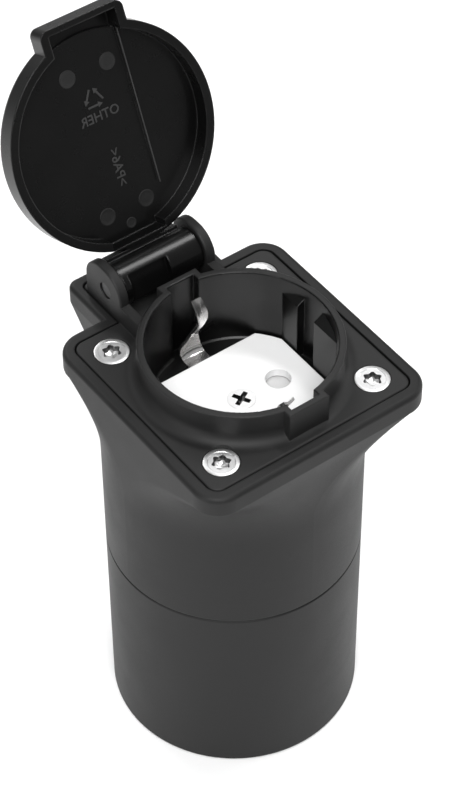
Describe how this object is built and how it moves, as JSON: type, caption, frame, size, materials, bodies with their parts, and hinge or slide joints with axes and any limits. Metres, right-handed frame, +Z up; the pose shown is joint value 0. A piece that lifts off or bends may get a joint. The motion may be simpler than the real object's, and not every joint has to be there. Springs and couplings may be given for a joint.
{
  "type": "vehicle to load adapter",
  "caption": "Handheld adapter with an earthed mains socket under a hinged round lid at one end and a round charging plug sleeve with contact bores at the other.",
  "frame": {"origin": "on the axis of the round sleeve, in the plane of its open lower rim", "axes": "+Z up along the sleeve's axis towards the socket, +Y towards the lid's hinge, +X to the right seen from the front"},
  "size_m": [0.056, 0.0865, 0.1576],
  "materials": {
    "housing_plastic": "fine moulded grain",
    "frame_plastic": "fine moulded grain",
    "lid_plastic": "polished black",
    "insert_plastic": "satin",
    "cover_white": "glossy white",
    "shutter_grey": "satin",
    "base_plastic": "satin",
    "stainless": "turned and tumbled",
    "blackened_steel": "blackened",
    "plated_steel": "bright plated",
    "contact_brass": "plain",
    "contact_silver": "silver plated",
    "seal_rubber": "smooth",
    "line_insulation": "smooth brown",
    "neutral_insulation": "smooth blue",
    "earth_insulation": "smooth green and yellow",
    "resistor_body": "lacquered"
  },
  "bodies": {
    "body": {"body_seal": "seal_rubber", "coding_resistor": "resistor_body", "contact_base": "base_plastic", "contact_carrier": "insert_plastic", "contact_cover": "cover_white", "contact_retainer": "insert_plastic", "cover_screw": "stainless", "earth_sleeve": "contact_silver", "earth_strap": "plated_steel", "earth_wire": "earth_insulation", "flange_screw_back_left": "stainless", "flange_screw_back_right": "stainless", "flange_screw_front_left": "stainless", "flange_screw_front_right": "stainless", "frame_gasket": "seal_rubber", "hinge_pin": "blackened_steel", "insert_face": "insert_plastic", "insert_ring": "insert_plastic", "insert_screw_1": "plated_steel", "insert_screw_2": "plated_steel", "insert_screw_3": "plated_steel", "line_contact": "contact_brass", "line_sleeve": "contact_silver", "line_terminal_screw": "plated_steel", "line_wire": "line_insulation", "lower_sleeve": "housing_plastic", "neutral_contact": "contact_brass", "neutral_sleeve": "contact_silver", "neutral_terminal_screw": "plated_steel", "neutral_wire": "neutral_insulation", "pilot_sleeve": "contact_silver", "plug_insert": "insert_plastic", "proximity_sleeve": "contact_silver", "socket_frame": "frame_plastic", "upper_housing": "housing_plastic"},
    "lid": {"lid": "lid_plastic"},
    "shutter": {"shutter": "shutter_grey", "shutter_spring": "stainless"}
  },
  "joints": [
    {"name": "lid_hinge", "type": "hinge", "parent": "body", "child": "lid", "pos_m": [0, 0.0266, 0.1074], "axis": [1, 0, 0], "range_deg": [0, 113.6]},
    {"name": "shutter_turn", "type": "hinge", "parent": "body", "child": "shutter", "pos_m": [0, -0.0031, 0.089], "axis": [0, 0, 1], "range_deg": [0, 42], "stiffness_Nm_per_rad": 0.002, "springref_deg": -22.92}
  ]
}
